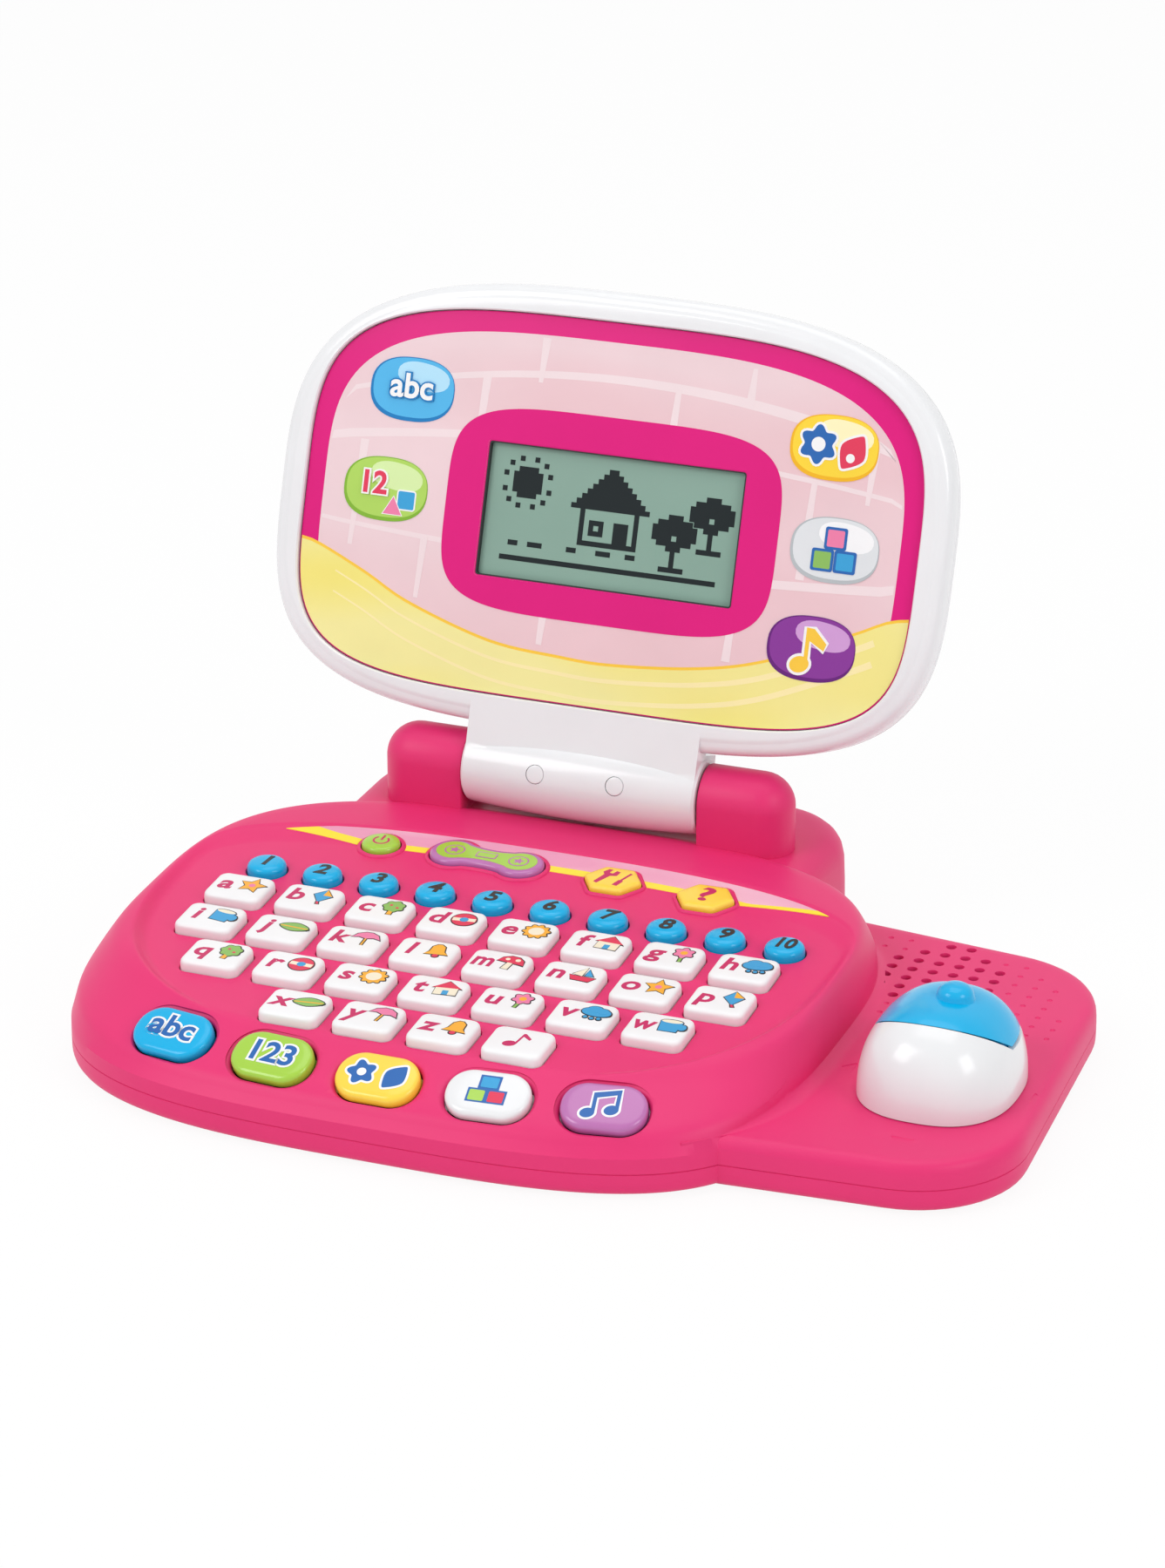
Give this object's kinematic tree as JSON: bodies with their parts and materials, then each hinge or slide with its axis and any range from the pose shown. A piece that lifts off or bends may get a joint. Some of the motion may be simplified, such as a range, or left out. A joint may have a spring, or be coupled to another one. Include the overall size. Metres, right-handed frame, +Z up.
{
  "type": "toy laptop computer",
  "caption": "Child-sized toy laptop: a rounded keyboard body with a mouse platform at its side, and a leaning screen lid on a barrel hinge.",
  "frame": {"origin": "centre of the footprint, on the surface it stands on", "axes": "+X to the right, towards the mouse platform; +Y away from the user, towards the hinge; +Z up"},
  "size_m": [0.3192, 0.2494, 0.2094],
  "materials": {
    "pink_abs": "satin moulded plastic",
    "white_abs": "glossy moulded plastic",
    "key_white": "satin moulded plastic with printed legend",
    "blue_abs": "glossy moulded plastic",
    "lime_abs": "satin moulded plastic",
    "yellow_abs": "satin moulded plastic",
    "purple_abs": "satin moulded plastic",
    "printed_sheet": "printed plastic sheet",
    "lcd_window": "clear window over a grey-green display",
    "circuit": "glass-fibre board",
    "silicone": "silicone rubber",
    "dark_rubber": "non-slip rubber",
    "steel": "plated steel",
    "cell_jacket": "printed jacket",
    "grey_abs": "moulded plastic",
    "black_metal": "painted steel basket"
  },
  "bodies": {
    "base": {"base_upper": "pink_abs", "base_lower": "pink_abs", "battery_door": "pink_abs", "batteries": "cell_jacket", "battery_contacts": "steel", "screws": "steel", "feet": "dark_rubber", "circuit_board": "circuit", "rubber_keypad": "silicone", "speaker": "black_metal", "function_label": "printed_sheet", "hinge_pins": "steel"},
    "lid": {"lid_front": "white_abs", "lid_back": "white_abs", "faceplate": "printed_sheet", "lcd_window": "lcd_window", "lcd_module": "grey_abs", "screw_plugs": "white_abs", "lid_screws": "steel"},
    "mouse_cross_slide": {"mouse_carriage": "grey_abs"},
    "mouse": {"mouse_body": "white_abs"},
    "mouse_click_cap": {"mouse_button": "blue_abs"},
    "mode_letters_cap": {"mode_letters": "blue_abs"},
    "mode_numbers_cap": {"mode_numbers": "lime_abs"},
    "mode_nature_cap": {"mode_nature": "yellow_abs"},
    "mode_games_cap": {"mode_games": "white_abs"},
    "mode_music_cap": {"mode_music": "purple_abs"},
    "power_cap": {"power_button": "lime_abs"},
    "selector_cap": {"player_selector": "purple_abs"},
    "tools_cap": {"tools_button": "yellow_abs"},
    "help_cap": {"help_button": "yellow_abs"},
    "comb_1_5": {"number_keys_1_5": "blue_abs"},
    "comb_6_10": {"number_keys_6_10": "blue_abs"},
    "cap_a": {"key_a": "key_white"},
    "cap_b": {"key_b": "key_white"},
    "cap_c": {"key_c": "key_white"},
    "cap_d": {"key_d": "key_white"},
    "cap_e": {"key_e": "key_white"},
    "cap_f": {"key_f": "key_white"},
    "cap_g": {"key_g": "key_white"},
    "cap_h": {"key_h": "key_white"},
    "cap_i": {"key_i": "key_white"},
    "cap_j": {"key_j": "key_white"},
    "cap_k": {"key_k": "key_white"},
    "cap_l": {"key_l": "key_white"},
    "cap_m": {"key_m": "key_white"},
    "cap_n": {"key_n": "key_white"},
    "cap_o": {"key_o": "key_white"},
    "cap_p": {"key_p": "key_white"},
    "cap_q": {"key_q": "key_white"},
    "cap_r": {"key_r": "key_white"},
    "cap_s": {"key_s": "key_white"},
    "cap_t": {"key_t": "key_white"},
    "cap_u": {"key_u": "key_white"},
    "cap_v": {"key_v": "key_white"},
    "cap_w": {"key_w": "key_white"},
    "cap_x": {"key_x": "key_white"},
    "cap_y": {"key_y": "key_white"},
    "cap_z": {"key_z": "key_white"},
    "cap_note": {"key_note": "key_white"}
  },
  "joints": [
    {"name": "lid_hinge", "type": "hinge", "parent": "base", "child": "lid", "pos_m": [-0.03282, 0.06922, 0.0531], "axis": [1, 0, 0], "range_deg": [0, 111]},
    {"name": "mouse_left_right", "type": "slide", "parent": "base", "child": "mouse_cross_slide", "axis": [1, 0, 0], "range_m": [-0.004, 0.004]},
    {"name": "mouse_near_far", "type": "slide", "parent": "mouse_cross_slide", "child": "mouse", "axis": [0, 1, 0], "range_m": [-0.004, 0.004]},
    {"name": "mouse_click", "type": "hinge", "parent": "mouse", "child": "mouse_click_cap", "pos_m": [0.12568, -0.05488, 0.0446], "axis": [1, 0, 0], "range_deg": [-2, 0], "stiffness_Nm_per_rad": 0.8, "springref_deg": 1.15},
    {"name": "mode_letters_cap_press", "type": "slide", "parent": "base", "child": "mode_letters_cap", "axis": [-0.0728, -0.4284, 0.9007], "range_m": [-0.0015, 0], "stiffness_N_per_m": 150, "springref_m": 0.0008},
    {"name": "mode_numbers_cap_press", "type": "slide", "parent": "base", "child": "mode_numbers_cap", "axis": [-0.0364, -0.433, 0.9007], "range_m": [-0.0015, 0], "stiffness_N_per_m": 150, "springref_m": 0.0008},
    {"name": "mode_nature_cap_press", "type": "slide", "parent": "base", "child": "mode_nature_cap", "axis": [0, -0.4345, 0.9007], "range_m": [-0.0015, 0], "stiffness_N_per_m": 150, "springref_m": 0.0008},
    {"name": "mode_games_cap_press", "type": "slide", "parent": "base", "child": "mode_games_cap", "axis": [0.0364, -0.433, 0.9007], "range_m": [-0.0015, 0], "stiffness_N_per_m": 150, "springref_m": 0.0008},
    {"name": "mode_music_cap_press", "type": "slide", "parent": "base", "child": "mode_music_cap", "axis": [0.0728, -0.4284, 0.9007], "range_m": [-0.0015, 0], "stiffness_N_per_m": 150, "springref_m": 0.0008},
    {"name": "power_cap_press", "type": "slide", "parent": "base", "child": "power_cap", "axis": [0, -0.0576, 0.9983], "range_m": [-0.0012, 0], "stiffness_N_per_m": 150, "springref_m": 0.0008},
    {"name": "selector_cap_press", "type": "slide", "parent": "base", "child": "selector_cap", "axis": [0, -0.0576, 0.9983], "range_m": [-0.0012, 0], "stiffness_N_per_m": 150, "springref_m": 0.0008},
    {"name": "tools_cap_press", "type": "slide", "parent": "base", "child": "tools_cap", "axis": [0, -0.0576, 0.9983], "range_m": [-0.0012, 0], "stiffness_N_per_m": 150, "springref_m": 0.0008},
    {"name": "help_cap_press", "type": "slide", "parent": "base", "child": "help_cap", "axis": [0, -0.0576, 0.9983], "range_m": [-0.0012, 0], "stiffness_N_per_m": 150, "springref_m": 0.0008},
    {"name": "comb_1_5_press", "type": "slide", "parent": "base", "child": "comb_1_5", "axis": [0, -0.0576, 0.9983], "range_m": [-0.0015, 0], "stiffness_N_per_m": 150, "springref_m": 0.0008},
    {"name": "comb_6_10_press", "type": "slide", "parent": "base", "child": "comb_6_10", "axis": [0, -0.0576, 0.9983], "range_m": [-0.0015, 0], "stiffness_N_per_m": 150, "springref_m": 0.0008},
    {"name": "cap_a_press", "type": "slide", "parent": "base", "child": "cap_a", "axis": [0, -0.0576, 0.9983], "range_m": [-0.0015, 0], "stiffness_N_per_m": 150, "springref_m": 0.0008},
    {"name": "cap_b_press", "type": "slide", "parent": "base", "child": "cap_b", "axis": [0, -0.0576, 0.9983], "range_m": [-0.0015, 0], "stiffness_N_per_m": 150, "springref_m": 0.0008},
    {"name": "cap_c_press", "type": "slide", "parent": "base", "child": "cap_c", "axis": [0, -0.0576, 0.9983], "range_m": [-0.0015, 0], "stiffness_N_per_m": 150, "springref_m": 0.0008},
    {"name": "cap_d_press", "type": "slide", "parent": "base", "child": "cap_d", "axis": [0, -0.0576, 0.9983], "range_m": [-0.0015, 0], "stiffness_N_per_m": 150, "springref_m": 0.0008},
    {"name": "cap_e_press", "type": "slide", "parent": "base", "child": "cap_e", "axis": [0, -0.0576, 0.9983], "range_m": [-0.0015, 0], "stiffness_N_per_m": 150, "springref_m": 0.0008},
    {"name": "cap_f_press", "type": "slide", "parent": "base", "child": "cap_f", "axis": [0, -0.0576, 0.9983], "range_m": [-0.0015, 0], "stiffness_N_per_m": 150, "springref_m": 0.0008},
    {"name": "cap_g_press", "type": "slide", "parent": "base", "child": "cap_g", "axis": [0, -0.0576, 0.9983], "range_m": [-0.0015, 0], "stiffness_N_per_m": 150, "springref_m": 0.0008},
    {"name": "cap_h_press", "type": "slide", "parent": "base", "child": "cap_h", "axis": [0, -0.0576, 0.9983], "range_m": [-0.0015, 0], "stiffness_N_per_m": 150, "springref_m": 0.0008},
    {"name": "cap_i_press", "type": "slide", "parent": "base", "child": "cap_i", "axis": [0, -0.0576, 0.9983], "range_m": [-0.0015, 0], "stiffness_N_per_m": 150, "springref_m": 0.0008},
    {"name": "cap_j_press", "type": "slide", "parent": "base", "child": "cap_j", "axis": [0, -0.0576, 0.9983], "range_m": [-0.0015, 0], "stiffness_N_per_m": 150, "springref_m": 0.0008},
    {"name": "cap_k_press", "type": "slide", "parent": "base", "child": "cap_k", "axis": [0, -0.0576, 0.9983], "range_m": [-0.0015, 0], "stiffness_N_per_m": 150, "springref_m": 0.0008},
    {"name": "cap_l_press", "type": "slide", "parent": "base", "child": "cap_l", "axis": [0, -0.0576, 0.9983], "range_m": [-0.0015, 0], "stiffness_N_per_m": 150, "springref_m": 0.0008},
    {"name": "cap_m_press", "type": "slide", "parent": "base", "child": "cap_m", "axis": [0, -0.0576, 0.9983], "range_m": [-0.0015, 0], "stiffness_N_per_m": 150, "springref_m": 0.0008},
    {"name": "cap_n_press", "type": "slide", "parent": "base", "child": "cap_n", "axis": [0, -0.0576, 0.9983], "range_m": [-0.0015, 0], "stiffness_N_per_m": 150, "springref_m": 0.0008},
    {"name": "cap_o_press", "type": "slide", "parent": "base", "child": "cap_o", "axis": [0, -0.0576, 0.9983], "range_m": [-0.0015, 0], "stiffness_N_per_m": 150, "springref_m": 0.0008},
    {"name": "cap_p_press", "type": "slide", "parent": "base", "child": "cap_p", "axis": [0, -0.0576, 0.9983], "range_m": [-0.0015, 0], "stiffness_N_per_m": 150, "springref_m": 0.0008},
    {"name": "cap_q_press", "type": "slide", "parent": "base", "child": "cap_q", "axis": [0, -0.0576, 0.9983], "range_m": [-0.0015, 0], "stiffness_N_per_m": 150, "springref_m": 0.0008},
    {"name": "cap_r_press", "type": "slide", "parent": "base", "child": "cap_r", "axis": [0, -0.0576, 0.9983], "range_m": [-0.0015, 0], "stiffness_N_per_m": 150, "springref_m": 0.0008},
    {"name": "cap_s_press", "type": "slide", "parent": "base", "child": "cap_s", "axis": [0, -0.0576, 0.9983], "range_m": [-0.0015, 0], "stiffness_N_per_m": 150, "springref_m": 0.0008},
    {"name": "cap_t_press", "type": "slide", "parent": "base", "child": "cap_t", "axis": [0, -0.0576, 0.9983], "range_m": [-0.0015, 0], "stiffness_N_per_m": 150, "springref_m": 0.0008},
    {"name": "cap_u_press", "type": "slide", "parent": "base", "child": "cap_u", "axis": [0, -0.0576, 0.9983], "range_m": [-0.0015, 0], "stiffness_N_per_m": 150, "springref_m": 0.0008},
    {"name": "cap_v_press", "type": "slide", "parent": "base", "child": "cap_v", "axis": [0, -0.0576, 0.9983], "range_m": [-0.0015, 0], "stiffness_N_per_m": 150, "springref_m": 0.0008},
    {"name": "cap_w_press", "type": "slide", "parent": "base", "child": "cap_w", "axis": [0, -0.0576, 0.9983], "range_m": [-0.0015, 0], "stiffness_N_per_m": 150, "springref_m": 0.0008},
    {"name": "cap_x_press", "type": "slide", "parent": "base", "child": "cap_x", "axis": [0, -0.0576, 0.9983], "range_m": [-0.0015, 0], "stiffness_N_per_m": 150, "springref_m": 0.0008},
    {"name": "cap_y_press", "type": "slide", "parent": "base", "child": "cap_y", "axis": [0, -0.0576, 0.9983], "range_m": [-0.0015, 0], "stiffness_N_per_m": 150, "springref_m": 0.0008},
    {"name": "cap_z_press", "type": "slide", "parent": "base", "child": "cap_z", "axis": [0, -0.0576, 0.9983], "range_m": [-0.0015, 0], "stiffness_N_per_m": 150, "springref_m": 0.0008},
    {"name": "cap_note_press", "type": "slide", "parent": "base", "child": "cap_note", "axis": [0, -0.0576, 0.9983], "range_m": [-0.0015, 0], "stiffness_N_per_m": 150, "springref_m": 0.0008}
  ]
}
